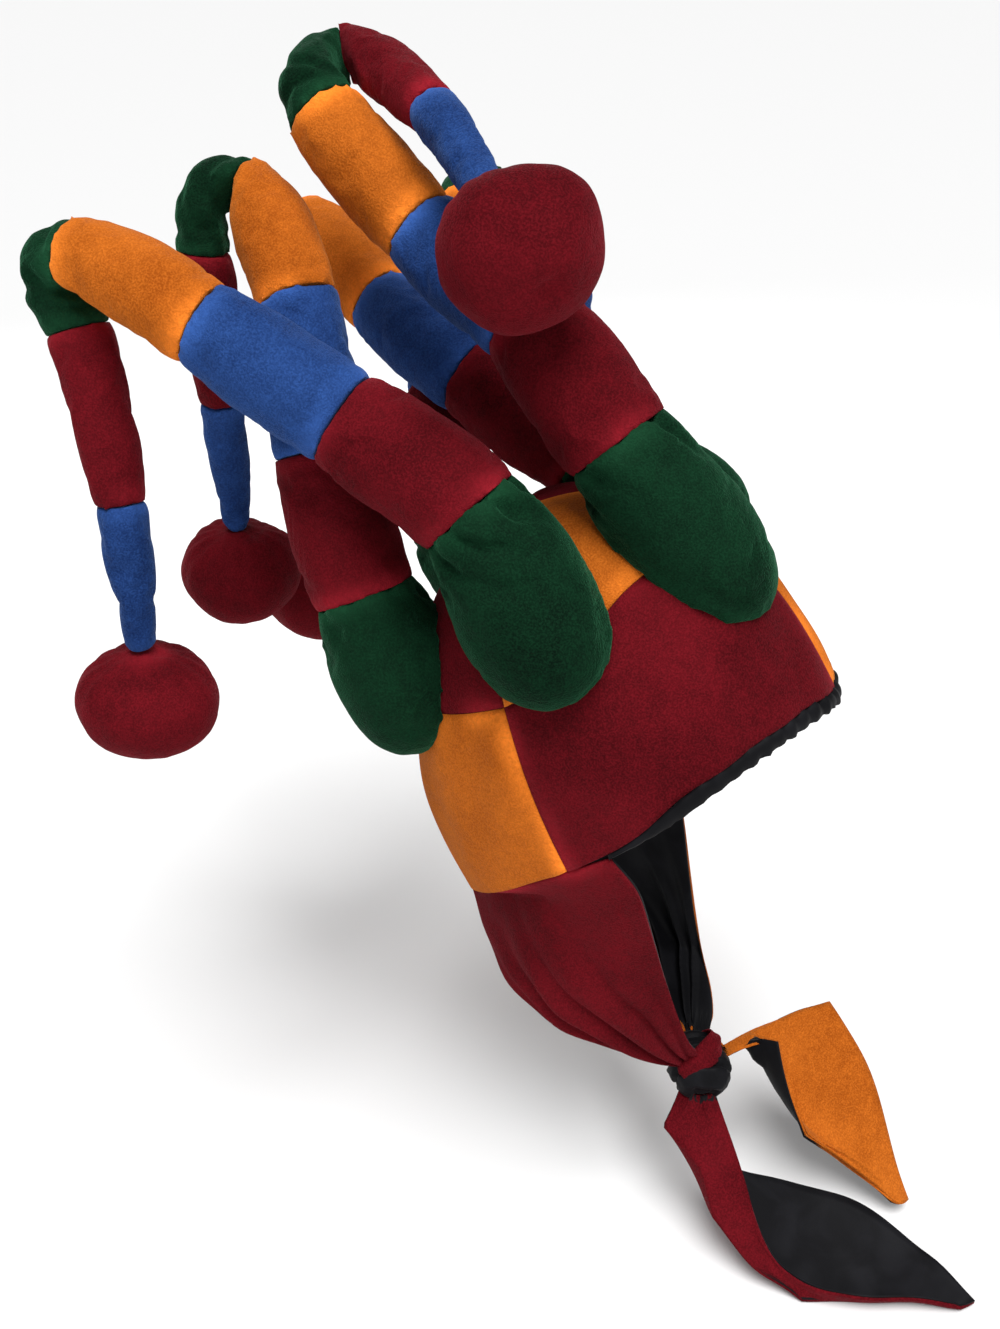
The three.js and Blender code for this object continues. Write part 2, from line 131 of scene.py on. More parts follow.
class Graph:
    """Node tree of one material."""

    def __init__(self, name: str) -> None:
        """Starts a material with its shader and output.

        Args:
            name: The material's name.
        """
        self.material = bpy.data.materials.new(name)
        self.material.use_nodes = True
        self.tree = self.material.node_tree
        self.shader = self.tree.nodes["Principled BSDF"]

    def node(self, kind: str, settings: dict[str, object], inputs: dict[int | str, object],
             output: int | str = 0) -> Value:
        """Adds a node.

        Args:
            kind: The node's type.
            settings: Its own settings, set before its sockets.
            inputs: Values or links of its sockets, by name or place.
            output: The socket that is handed back.

        Returns:
            The wrapped output socket.
        """
        made = self.tree.nodes.new(kind)
        for key, value in settings.items():
            setattr(made, key, value)
        for key, value in inputs.items():
            self.feed(made.inputs[key], value)
        return Value(self, made.outputs[output])

    def feed(self, socket: bpy.types.NodeSocket, value: object) -> None:
        """Links a wrapped socket, or sets a plain value.

        Args:
            socket: The input to fill.
            value: What it gets.
        """
        if isinstance(value, Value):
            self.tree.links.new(value.socket, socket)
        else:
            socket.default_value = value

    def shade(self, **inputs: object) -> None:
        """Sets the shader's sockets, with underscores for the spaces in their names."""
        for key, value in inputs.items():
            self.feed(self.shader.inputs[key.replace("_", " ")], value)

    def cloud(self, place: Value, scale: float, detail: float = 2.0, distortion: float = 0.0) -> Value:
        """Soft noise at a number of patches a metre."""
        return self.node("ShaderNodeTexNoise", {}, {"Vector": place, "Scale": scale, "Detail": detail,
                                                   "Distortion": distortion})

    def ramp(self, value: Value, low: float, high: float) -> Value:
        """Value spread from 0 at low to 1 at high, with soft ends."""
        return self.node("ShaderNodeMapRange", {"interpolation_type": "SMOOTHSTEP"},
                         {"Value": value, "From Min": low, "From Max": high})

    def mix(self, factor: Value, first: object, second: object) -> Value:
        """Colour between two others.

        Args:
            factor: Share of the second colour.
            first: Colour at 0.
            second: Colour at 1.

        Returns:
            The mixed colour.
        """
        made = self.tree.nodes.new("ShaderNodeMix")
        made.data_type = "RGBA"
        for place, value in ((0, factor), (6, first), (7, second)):
            self.feed(made.inputs[place], value)
        return Value(self, made.outputs[2])


Colour = tuple[float, float, float]


@dataclass(frozen=True)
class Velvet:
    """Short-pile velvet whose colour blends between a lit and a shaded copy in brushed patches, painted light
    and shade, and is lightened by a painted sheen beside its seams.
    """

    slot: Slot
    lit: Colour
    shade: Colour
    glow: Colour
    sheen: float
    brushed_and_lit_rate: float = 13.0
    mottle_rate: float = 120.0
    tuft_rate: float = 480.0
    pile_rate: float = 1100.0
    painted_sheen_gain: float = 1.9
    pile_height: float = 0.8 * MM

    def build(self) -> bpy.types.Material:
        """Makes the material.

        Returns:
            The material.
        """
        g = Graph(self.slot.value)
        place = g.node("ShaderNodeTexCoord", {}, {}, "Object")
        brushed_and_lit = g.ramp(g.cloud(place, self.brushed_and_lit_rate, 2.0, 0.4), 0.36, 0.64)
        mottle = g.ramp(g.cloud(place, self.mottle_rate, 3.0, 0.8), 0.34, 0.68)
        pile = g.ramp(g.cloud(place, self.pile_rate, 3.0), 0.32, 0.7)
        tuft = g.cloud(place, self.tuft_rate, 2.0, 0.4)
        lighter_patches = g.node("ShaderNodeAttribute", {"attribute_name": PAINTED_SHEEN}, {}, "Fac") * (0.35 + tuft)
        # Painted light and shade: the colour blends between the shaded and the lit copy of the velvet's
        # colour in random patches of brushed pile, mottle and pile.
        colour = g.mix(brushed_and_lit * 0.32 + mottle * 0.18 + pile * 0.5, (*self.shade, 1.0), (*self.lit, 1.0))
        # Painted sheen: beside the seams the colour is lightened towards a copy of the lit colour that is
        # brighter still.
        colour = g.mix(lighter_patches, colour, (*(self.painted_sheen_gain * part for part in self.lit), 1.0))
        height = pile * 0.5 + tuft * 0.35 + mottle * 0.15
        bump = g.node("ShaderNodeBump", {},
                      {"Height": height, "Strength": 0.6, "Distance": self.pile_height})
        g.shade(Base_Color=colour, Roughness=0.72 + mottle * 0.2, Normal=bump, Sheen_Weight=self.sheen,
                Sheen_Roughness=0.32, Sheen_Tint=(*self.glow, 1.0), Specular_IOR_Level=0.03)
        return g.material


@dataclass(frozen=True)
class Satin:
    """Thin black lining with a fine weave."""

    slot: Slot
    dark: Colour
    light: Colour
    worn_rate: float = 45.0
    weave_rate: float = 2200.0
    weave_height: float = 0.4 * MM

    def build(self) -> bpy.types.Material:
        """Makes the material.

        Returns:
            The material.
        """
        g = Graph(self.slot.value)
        place = g.node("ShaderNodeTexCoord", {}, {}, "Object")
        lighter_patches = g.ramp(g.cloud(place, self.worn_rate, 3.0, 0.5), 0.35, 0.7)
        weave = g.cloud(place, self.weave_rate, 1.0)
        height = weave * 0.6 + lighter_patches * 0.4
        bump = g.node("ShaderNodeBump", {},
                      {"Height": height, "Strength": 0.3, "Distance": self.weave_height})
        g.shade(Base_Color=g.mix(lighter_patches, (*self.dark, 1.0), (*self.light, 1.0)), Roughness=0.5 + weave * 0.2,
                Normal=bump, Sheen_Weight=0.03, Sheen_Roughness=0.4, Specular_IOR_Level=0.09)
        return g.material


# Each velvet holds a lit and a shaded copy of its colour, painted light and shade.
FINISHES = (
    Velvet(Slot.RED, (0.160, 0.0070, 0.0122), (0.048, 0.0019, 0.0036), (0.9, 0.12, 0.16), 0.20),
    Velvet(Slot.ORANGE, (0.62, 0.158, 0.017), (0.29, 0.060, 0.004), (1.0, 0.55, 0.2), 0.20),
    Velvet(Slot.BLUE, (0.027, 0.078, 0.270), (0.006, 0.020, 0.088), (0.3, 0.5, 1.0), 0.28),
    Velvet(Slot.GREEN, (0.0058, 0.0350, 0.0150), (0.0011, 0.0062, 0.0030), (0.14, 0.6, 0.3), 0.28),
    Satin(Slot.BLACK, (0.0035, 0.0035, 0.0045), (0.0080, 0.0080, 0.0100)),
)


# cloth


class Sewn:
    """The solids that a piece is sewn to, for how near its points lie to them."""

    def __init__(self, nodes: Sequence[str]) -> None:
        """Keeps a search tree of each node."""
        self.trees = [self.tree(node) for node in nodes]

    @staticmethod
    def tree(node: str) -> BVHTree:
        """Search tree of one node's surface."""
        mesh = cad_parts[node].data
        return BVHTree.FromPolygons([v.co for v in mesh.vertices], [p.vertices for p in mesh.polygons])

    def nearest(self, point: Vector, reach: float) -> tuple[float, Vector | None]:
        """Nearest point of the solids.

        Args:
            point: Where it is looked for from.
            reach: How far it is looked for.

        Returns:
            Its distance and place, or the reach and None if there is none within reach.
        """
        best: tuple[float, Vector | None] = (reach, None)
        for tree in self.trees:
            place, _, _, gap = tree.find_nearest(point, reach)
            if place is not None and gap < best[0]:
                best = (gap, place)
        return best

    def distance(self, point: Vector, reach: float) -> float:
        """Distance from a point to the nearest of the solids, or the reach if none is nearer."""
        return self.nearest(point, reach)[0]


def hill(value: float, middle: float, width: float) -> float:
    """A smooth bump of height 1."""
    return math.exp(-(((value - middle) / width) ** 2))


def ripple(place: Vector, size: float) -> float:
    """Smooth noise from about -1 to 1 whose patches have the given size."""
    return noise.noise(place / size)


@dataclass(frozen=True)
class Pucker:
    """Small wrinkles beside a seam: the size of their patches, distance from it, spread and depth."""

    patch: float
    gap: float
    spread: float
    depth: float

    def rise(self, place: Vector, gap: float) -> float:
        """Height of the wrinkles at a point and its distance from the seam."""
        return ripple(place, self.patch) * hill(gap, self.gap, self.spread) * self.depth


@dataclass
class ClothPiece:
    """One piece of the hat, made from its solid."""

    node: str
    slot: Slot
    sewn_to: tuple[str, ...]
    levels: int = 1
    smooth: int = 2

    def __post_init__(self) -> None:
        """Copies the solid, merged, in quads and with its sharp edges kept, and smooths it."""
        mesh = bpy.data.meshes.new(self.node + "_cloth")
        work = bmesh.new()
        work.from_mesh(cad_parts[self.node].data)
        bmesh.ops.remove_doubles(work, verts=work.verts, dist=MERGE_GAP)
        bmesh.ops.join_triangles(work, faces=work.faces, angle_face_threshold=JOIN_ANGLE,
                                 angle_shape_threshold=HALF_TURN, cmp_seam=False, cmp_sharp=False,
                                 cmp_uvs=False, cmp_vcols=False, cmp_materials=False)
        crease = work.edges.layers.float.get("crease_edge") or work.edges.layers.float.new("crease_edge")
        for edge in work.edges:
            if len(edge.link_faces) == 2 and edge.calc_face_angle(0.0) > SHARP_ANGLE:
                edge[crease] = 1.0
        work.to_mesh(mesh)
        work.free()
        self.object = bpy.data.objects.new(self.node + "_cloth", mesh)
        bpy.context.scene.collection.objects.link(self.object)
        self.seams = Sewn(self.sewn_to)
        finer = self.object.modifiers.new("finer", "SUBSURF")
        finer.levels = finer.render_levels = self.smooth
        self.keep_modifiers()

    def keep_modifiers(self) -> None:
        """Keeps what the modifiers make and removes them."""
        graph = bpy.context.evaluated_depsgraph_get()
        made = bpy.data.meshes.new_from_object(self.object.evaluated_get(graph))
        self.object.modifiers.clear()
        self.object.data = made

    def move_points(self, shift: Callable[[Vector, Vector], Vector]) -> None:
        """Moves each point.

        Args:
            shift: Takes a point's place and normal and gives its move.
        """
        mesh = self.object.data
        moves = [shift(v.co.copy(), v.normal.copy()) for v in mesh.vertices]
        for vertex, move in zip(mesh.vertices, moves):
            vertex.co += move
        mesh.update()

    def prepare(self) -> None:
        """Sets the piece up before the cloth is blown up."""

    def settle(self) -> None:
        """Finishes the piece's form."""
        raise NotImplementedError

    def painted_sheen_at(self, place: Vector) -> float:
        """Strength of the painted sheen, a painted highlight, at a point: in patches, and only beside a seam.
        """
        beside = hill(self.seams.distance(place, PAINTED_SHEEN_PATCH), 0, PAINTED_SHEEN_WIDTH)
        return beside * max(0.0, 0.5 + 1.2 * ripple(place, PAINTED_SHEEN_PATCH))

    def dress(self, materials: dict[Slot, bpy.types.Material]) -> None:
        """Gives the piece its finish, its painted sheen beside the seams, subdivision and place in the hat.

        Args:
            materials: Material of each slot.
        """
        mesh = self.object.data
        # Painted sheen: stored on each point for the velvet's colour to lighten it beside the seams.
        lighter_patches = mesh.attributes.new(PAINTED_SHEEN, "FLOAT", "POINT")
        lighter_patches.data.foreach_set("value", [self.painted_sheen_at(v.co) for v in mesh.vertices])
        mesh.materials.clear()
        mesh.materials.append(materials[self.slot])
        for polygon in mesh.polygons:
            polygon.use_smooth = True
            polygon.material_index = 0
        if self.levels:
            smooth = self.object.modifiers.new("smooth", "SUBSURF")
            smooth.levels = smooth.render_levels = self.levels
        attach(self.object, BODY)
        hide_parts(self.node)
        log.info("%s: %d faces", self.object.name, len(mesh.polygons))


@dataclass
class StuffedPiece(ClothPiece):
    """A stuffed piece: its cover is blown up by its filling and held at its seams."""

    voxel: float = 3.0 * MM
    grow: float = 0.02
    pressure: float = 4.0
    cap: float = 4.0 * MM
    sew: float = 0.15 * MM
    seam_reach: float = 2.4 * MM
    least_gap: float = 0.1 * MM
    free_from: float = 7.0 * MM
    held_fade: float = 4.0 * MM
    pinch: float = 0.6 * MM
    pinch_width: float = 2.5 * MM
    pucker: Pucker = Pucker(6.0 * MM, 6.0 * MM, 4.0 * MM, 0.5 * MM)
    slack: float = 1.1 * MM
    slack_patch: float = 26.0 * MM
    taut_width: float = 7.0 * MM
    fill: float = 0.8

    def prepare(self) -> None:
        """Remeshes the form in even squares, closes its seams and sets up its cover."""
        remesh = self.object.modifiers.new("even", "REMESH")
        remesh.mode = "VOXEL"
        remesh.voxel_size = self.voxel
        self.keep_modifiers()
        self.close_seams()
        group = self.object.vertex_groups.new(name="held")
        for vertex in self.object.data.vertices:
            gap = self.seams.distance(vertex.co, self.free_from)
            group.add([vertex.index], min(1.0, (self.free_from - gap) / self.held_fade), "REPLACE")
        cloth = self.object.modifiers.new("filling", "CLOTH")
        settings = cloth.settings
        settings.quality = 4
        settings.mass = 0.2
        settings.tension_stiffness = 12
        settings.compression_stiffness = 12
        settings.shear_stiffness = 6
        settings.bending_stiffness = 0.08
        settings.use_pressure = True
        settings.uniform_pressure_force = self.pressure
        settings.shrink_min = -self.grow
        settings.vertex_group_mass = "held"
        settings.effector_weights.gravity = 0
        cloth.collision_settings.use_collision = False
        cloth.point_cache.frame_end = FRAMES

    def close_seams(self) -> None:
        """Draws the points beside a seam onto the piece that they are sewn to."""

        def shift(place: Vector, normal: Vector) -> Vector:
            """Move of a point.

            Args:
                place: The point.
                normal: Its direction outward.

            Returns:
                How far and where to it moves.
            """
            gap, to = self.seams.nearest(place, self.seam_reach)
            return (to - place) * (1 + self.sew / max(gap, self.least_gap)) if to is not None else Vector()

        self.move_points(shift)

    def settle(self) -> None:
        """Keeps the blown-up cover, with no point further from its start than the cap."""
        start = [v.co.copy() for v in self.object.data.vertices]
        self.keep_modifiers()
        for vertex, first in zip(self.object.data.vertices, start):
            move = vertex.co - first
            if move.length > self.cap:
                vertex.co = first + move.normalized() * self.cap
        self.object.data.update()
        self.wrinkle()

    def wrinkle(self) -> None:
        """Sinks the seams and puckers the cloth beside them."""

        def shift(place: Vector, normal: Vector) -> Vector:
            """Move of a point.

            Args:
                place: The point.
                normal: Its direction outward.

            Returns:
                How far and where to it moves.
            """
            gap = self.seams.distance(place, 16 * MM)
            slack = ripple(place, self.slack_patch) * self.slack * (1 - hill(gap, 0, self.taut_width))
            sunk = hill(gap, 0, self.pinch_width) * self.pinch
            return normal * (self.pucker.rise(place, gap) + slack - sunk)

        self.move_points(shift)


@dataclass
class RootPiece(StuffedPiece):
    """The lowest panel of a horn, sewn to the crown and wrinkled below the next panel."""

    sew: float = 1.0 * MM
    cap: float = 6.0 * MM
    creases: float = 9.0
    slant: float = 5.0 * MM
    below: float = 11.0 * MM
    length: float = 12.0 * MM
    depth: float = 7.0 * MM

    def wrinkle(self) -> None:
        """Adds short creases that leave the upper seam at a slant."""
        super().wrinkle()
        upper = self.seams.trees[0]
        low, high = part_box(self.node)
        centre = (low + high) / 2
        top = upper.find_nearest(centre)[0]
        along = (top - centre).normalized()
        side = Vector((1, 0, 0)).cross(along).normalized()

        def shift(place: Vector, normal: Vector) -> Vector:
            """Move of a point.

            Args:
                place: The point.
                normal: Its direction outward.

            Returns:
                How far and where to it moves.
            """
            gap = upper.find_nearest(place)[3]
            arm = place - centre
            turn = math.atan2(arm.dot(side), arm.dot(along.cross(side)))
            wave = math.sin(self.creases * turn + gap / self.slant + 2.2 * ripple(place, 18 * MM))
            strength = hill(gap, self.below, self.length) * max(0.0, 0.6 + ripple(place, 35 * MM))
            return normal * (-max(0.0, wave) ** 2 * self.depth * strength)

        self.move_points(shift)


@dataclass
class FoldPiece(StuffedPiece):
    """A piece where the horn flops over, with creases that fan out from its inner side."""

    creases: float = 9.0
    hinge: float = 20.0 * MM
    depth: float = 3.8 * MM

    def wrinkle(self) -> None:
        """Adds the creases to the puckers."""
        super().wrinkle()
        first, last = [(low + high) / 2 for low, high in (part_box(node) for node in self.sewn_to)]
        low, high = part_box(self.node)
        centre = (low + high) / 2
        along = (last - first).normalized()
        out = centre - (first + last) / 2
        out = (out - along * out.dot(along)).normalized()
        hinge = centre - out * self.hinge

        def shift(place: Vector, normal: Vector) -> Vector:
            """Move of a point.

            Args:
                place: The point.
                normal: Its direction outward.

            Returns:
                How far and where to it moves.
            """
            arm = place - hinge
            angle = math.atan2(arm.dot(along), arm.dot(out))
            wave = math.sin(self.creases * angle + 3.2 * ripple(place, 20 * MM))
            free = 1 - hill(self.seams.distance(place, 20 * MM), 0, 6 * MM)
            deep = 0.55 + 0.6 * ripple(place, 14 * MM)
            return normal * (-(max(0.0, wave) ** 1.5) * self.depth * free * deep)

        self.move_points(shift)


@dataclass
class BallPiece(StuffedPiece):
    """A ball whose cover is gathered round the end of its horn."""

    gathers: float = 15.0
    neck: float = 1.05
    foot: float = 0.65
    pole: float = 0.2
    depth: float = 2.8 * MM
    grow: float = 0.03
    slack: float = 2.6 * MM

    def wrinkle(self) -> None:
        """Draws the cover together at both ends of the ball's axis."""
        super().wrinkle()
        low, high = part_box(self.node)
        centre = (low + high) / 2
        axis = (self.seams.trees[0].find_nearest(centre)[0] - centre).normalized()
        side = axis.orthogonal().normalized()
        other = axis.cross(side)

        def shift(place: Vector, normal: Vector) -> Vector:
            """Move of a point.

            Args:
                place: The point.
                normal: Its direction outward.

            Returns:
                How far and where to it moves.
            """
            arm = place - centre
            tilt = arm.angle(axis)
            turn = math.atan2(arm.dot(side), arm.dot(other))
            wave = abs(math.sin(self.gathers * turn / 2 + 1.2 * ripple(place, 25 * MM)))
            close = hill(tilt, 0, self.neck) + 0.45 * hill(tilt, math.pi, self.foot)
            pole = 1.6 * hill(tilt, math.pi, self.pole)
            return normal * (-self.depth * (close * (1 - wave) + pole))

        self.move_points(shift)


@dataclass
class RolledHem(ClothPiece):
    """Elastic roll along the forehead, gathered into small ribs."""

    levels: int = 0
    smooth: int = 3
    middle: float = 20.0 * MM
    bend: float = 90.0 * MM
    rib: float = 7.5 * MM
    depth: float = 2.4 * MM

    def settle(self) -> None:
        """Presses the ribs into the roll, less towards its thin ends."""
        low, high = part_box(self.node)

        def shift(place: Vector, normal: Vector) -> Vector:
            """Move of a point.

            Args:
                place: The point.
                normal: Its direction outward.

            Returns:
                How far and where to it moves.
            """
            along = math.atan2(place.x, self.middle - place.y) * self.bend
            wave = math.sin(math.tau * along / self.rib + 2.5 * ripple(place, 14 * MM))
            ahead = (high.y - place.y) / (high.y - low.y)
            return normal * (wave * 0.5 * self.depth * ahead * (0.8 + ripple(place, 9 * MM)))

        self.move_points(shift)


@dataclass
class Knot(ClothPiece):
    """The knot, with the turns of cloth that are wound round it."""

    levels: int = 0
    smooth: int = 3
    turns: float = 3.4
    radius: float = 19.0 * MM
    depth: float = 3.2 * MM

    def settle(self) -> None:
        """Presses the gaps between the turns into the knot."""
        low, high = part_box(self.node)
        centre = (low + high) / 2
        across = Vector((0.9, 0.3, 0.35)).normalized()

        def shift(place: Vector, normal: Vector) -> Vector:
            """Move of a point.

            Args:
                place: The point.
                normal: Its direction outward.

            Returns:
                How far and where to it moves.
            """
            arm = place - centre
            along = self.turns * math.pi * arm.dot(across) / self.radius
            wave = math.sin(along + 1.6 * ripple(place, 16 * MM))
            fine = ripple(place * 2, 7 * MM) * 0.5 * MM
            return normal * (-hill(wave, 1, 0.35) * self.depth + fine)

        self.move_points(shift)


@dataclass
class SheetPiece(ClothPiece):
    """A piece of cloth one wall thick, eased into soft folds."""

    levels: int = 0
    smooth: int = 3
    sway: float = 2.6 * MM
    sway_patch: float = 26.0 * MM
    taut_width: float = 6.0 * MM
    pinch: float = 0.9 * MM
    pinch_width: float = 3.0 * MM
    pucker: Pucker = Pucker(7.0 * MM, 6.0 * MM, 4.0 * MM, 0.4 * MM)
    held_by: str = "stretched"
    rests_on: tuple[str, ...] = ()
    tied_to: tuple[str, ...] = ()
    tuck: float = 8.0 * MM
    bury: float = 3.5 * MM

    def settle(self) -> None:
        """Moves both faces of the wall together into folds and tucks the tied end into the knot."""
        self.move_points(lambda place, normal: self.fold(place))
        knot = Sewn(self.tied_to)

        def shift(place: Vector, normal: Vector) -> Vector:
            """Move of a point.

            Args:
                place: The point.
                normal: Its direction outward.

            Returns:
                How far and where to it moves.
            """
            gap, to = knot.nearest(place, self.tuck)
            if to is None:
                return Vector()
            return (to - place) * (1 + self.bury / max(gap, 1 * MM)) * min(1.0, 2.0 * (1 - gap / self.tuck))

        self.move_points(shift)
        low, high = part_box(self.node)
        list(self.rests_on)

    def outward(self, place: Vector) -> Vector:
        """Direction away from the middle of the head."""
        return Vector((place.x, place.y - 0.02, 0.3 * (place.z - 0.02))).normalized()

    def fold(self, place: Vector) -> Vector:
        """Folds and seams of the cloth.

        Args:
            place: A point of it.

        Returns:
            The point's move.
        """
        gap = self.seams.distance(place, 14 * MM)
        upright = Vector((place.x, place.y, place.z * 0.5))
        wave = (0.3 + ripple(upright, self.sway_patch)) * self.sway * (1 - hill(gap, 0, self.taut_width))
        sunk = hill(gap, 0, self.pinch_width) * self.pinch
        return self.outward(place) * (wave + self.pucker.rise(place, gap) - sunk)


@dataclass(frozen=True)
class Crease:
    """A fold that runs out from the knot: its climb towards the nape, width in degrees and depth."""

    climb: float
    width: float
    depth: float


@dataclass
class FlapPiece(SheetPiece):
    """An ear flap drawn together at the knot, with folds that fan out from it."""

    held_by: str = "hung"
    knot: Vector = field(default_factory=lambda: Vector((-0.020, -0.040, -0.184)))
    creases: tuple[Crease, ...] = (
        Crease(31, 1.9, 4.0 * MM), Crease(37, 2.2, 6.4 * MM), Crease(42, 2.0, -2.2 * MM),
        Crease(47, 2.0, 6.2 * MM), Crease(54, 3.0, -2.4 * MM), Crease(61, 2.4, 4.6 * MM),
        Crease(72, 2.6, 2.8 * MM),
    )

    def fold(self, place: Vector) -> Vector:
        """Adds the fan of folds.

        Args:
            place: A point of the cloth.

        Returns:
            The point's move.
        """
        arm = place - self.knot
        climb = math.degrees(math.atan2(arm.z, arm.y)) + 4 * ripple(place, 50 * MM)
        sewn = 1 - hill(self.seams.distance(place, 60 * MM), 0, 26 * MM)
        reach = hill(arm.length, 60 * MM, 75 * MM)
        depth = sum(crease.depth * hill(climb, crease.climb, crease.width) for crease in self.creases)
        return super().fold(place) - self.outward(place) * depth * sewn * reach


@dataclass
class TailPiece(SheetPiece):
    """The free end of a tie."""

    held_by: str = "hung"
    rests_on: tuple[str, ...] = ("tie_knot",)
    tuck: float = 18.0 * MM

    def outward(self, place: Vector) -> Vector:
        """Direction across the tail."""
        return Vector((0.5, 0.25, 0.8)).normalized()


@dataclass
class TieTurn:
    """The narrow red end that crosses over the knot and goes behind it."""

    name: str = "tie_turn_cloth"
    slot: Slot = Slot.RED
    width: float = 12.0 * MM
    thick: float = 1.5 * MM
    bow: float = 2.2 * MM
    reach: float = 19.6 * MM
    above: float = 8.0 * MM
    sink: float = 7.0 * MM
    rise: float = 34.0
    turn: tuple[float, float] = (-26.0, 118.0)
    spans: tuple[int, int] = (36, 10)

    def place(self, along: float, across: float, centre: Vector, axes: Matrix) -> Vector:
        """Point of the band.

        Args:
            along: Share of the way from its start under the flap to its end behind the knot.
            across: Share of half its width, from -1 to 1.
            centre: Middle of the knot.
            axes: Rows that point along the band's first lean, across it and out of the knot.

        Returns:
            The point, in metres.
        """
        angle = math.radians(self.turn[0] + (self.turn[1] - self.turn[0]) * along)
        half = self.width / 2 * (0.55 + 0.6 * hill(along, 0.5, 0.36)) * (1 + 0.12 * math.sin(7 * along))
        crown = self.bow * (1 - across * across) + 0.5 * MM * math.sin(5 * across + 3 * along)
        out = self.reach + crown - self.sink * hill(along, 1.15, 0.4)
        local = Vector((math.sin(angle) * out, self.above + half * across, math.cos(angle) * out))
        return centre + axes.transposed() @ local

    def build(self, camera_back: Vector, materials: dict[Slot, bpy.types.Material]) -> None:
        """Makes the band.

        Args:
            camera_back: Direction out of the knot's seen side.
            materials: Material of each slot.
        """
        low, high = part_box("tie_knot")
        right = Vector((0, 0, 1)).cross(camera_back).normalized()
        up = camera_back.cross(right)
        lean = math.radians(self.rise)
        along = right * math.cos(lean) + up * math.sin(lean)
        axes = Matrix((along, up * math.cos(lean) - right * math.sin(lean), camera_back))
        work = bmesh.new()
        bmesh.ops.create_grid(work, x_segments=self.spans[0], y_segments=self.spans[1], size=1.0)
        for vertex in work.verts:
            vertex.co = self.place((vertex.co.x + 1) / 2, vertex.co.y, (low + high) / 2, axes)
        bmesh.ops.solidify(work, geom=list(work.faces), thickness=self.thick)
        bmesh.ops.recalc_face_normals(work, faces=list(work.faces))
        mesh = bpy.data.meshes.new(self.name)
        work.to_mesh(mesh)
        work.free()
        for polygon in mesh.polygons:
            polygon.use_smooth = True
        mesh.materials.append(materials[self.slot])
        piece = bpy.data.objects.new(self.name, mesh)
        bpy.context.scene.collection.objects.link(piece)
        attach(piece, BODY)
        log.info("%s: %d faces", piece.name, len(mesh.polygons))


# parts of the hat


@dataclass
class Crown:
    """Patchwork dome with its lining and rolled front hem."""

    panels: dict[str, Slot] = field(default_factory=lambda: {
        "front_right_lower": Slot.RED, "front_right_upper": Slot.ORANGE,
        "back_right_lower": Slot.ORANGE, "back_right_upper": Slot.RED,
        "back_left_lower": Slot.RED, "back_left_upper": Slot.ORANGE,
        "front_left_lower": Slot.ORANGE, "front_left_upper": Slot.RED,
    })

    def build(self) -> list[ClothPiece]:
        """Makes the crown's pieces.

        Returns:
            The pieces in order.
        """
        names = list(self.panels)
        pieces: list[ClothPiece] = [
            SheetPiece(name, slot, tuple(n for n in names if n != name)) for name, slot in self.panels.items()
        ]
        pieces.append(SheetPiece("crown_lining", Slot.BLACK, (), smooth=2, sway=0.0))
        pieces.append(RolledHem("front_hem", Slot.BLACK, ()))
        return pieces


@dataclass
class Horn:
    """One stuffed horn: a chain of coloured panels that ends in a ball."""

    name: str
    root_on: tuple[str, ...]
    colours: dict[str, Slot] = field(default_factory=lambda: {
        "root": Slot.GREEN, "red": Slot.RED, "blue": Slot.BLUE, "gold": Slot.ORANGE, "fold": Slot.GREEN,
        "low_red": Slot.RED, "low_blue": Slot.BLUE, "ball": Slot.RED,
    })

    def build(self) -> list[ClothPiece]:
        """Makes the horn's pieces.

        Returns:
            The pieces, from the root to the ball.
        """
        keys = list(self.colours)
        pieces: list[ClothPiece] = []
        for place, (key, slot) in enumerate(self.colours.items()):
            node = f"{self.name}_horn_{key}"
            around = [f"{self.name}_horn_{k}" for k in keys[max(0, place - 1):place + 2] if k != key]
            if key == "root":
                pieces.append(RootPiece(node, slot, (*around, *self.root_on)))
            elif key == "fold":
                pieces.append(FoldPiece(node, slot, tuple(around)))
            elif key == "ball":
                pieces.append(BallPiece(node, slot, (around[0],)))
            else:
                pieces.append(StuffedPiece(node, slot, tuple(around)))
        return pieces


@dataclass
class Ties:
    """Ear flaps, their knotted ends and the two tails."""

    colours: dict[str, Slot] = field(default_factory=lambda: {"right": Slot.RED, "left": Slot.ORANGE})

    def build(self) -> list[ClothPiece]:
        """Makes the flaps, tails, linings and knot.

        Returns:
            The pieces in order.
        """
        pieces: list[ClothPiece] = []
        for side, slot in self.colours.items():
            crown = (f"back_{side}_lower", f"front_{side}_lower")
            for node, tone in ((f"{side}_flap", slot), (f"{side}_flap_lining", Slot.BLACK)):
                pieces.append(FlapPiece(node, tone, crown, rests_on=crown, tied_to=("tie_knot",)))
            for node, tone in ((f"{side}_tail", slot), (f"{side}_tail_lining", Slot.BLACK)):
                pieces.append(TailPiece(node, tone, (), tied_to=("tie_knot",)))
        pieces.append(Knot("tie_knot", Slot.BLACK, ()))
        return pieces


# room


@dataclass(frozen=True)
class Lamp:
    """A lamp: its place from the hat's middle and its strength."""

    name: str
    kind: str
    place: tuple[float, float, float]
    power: float


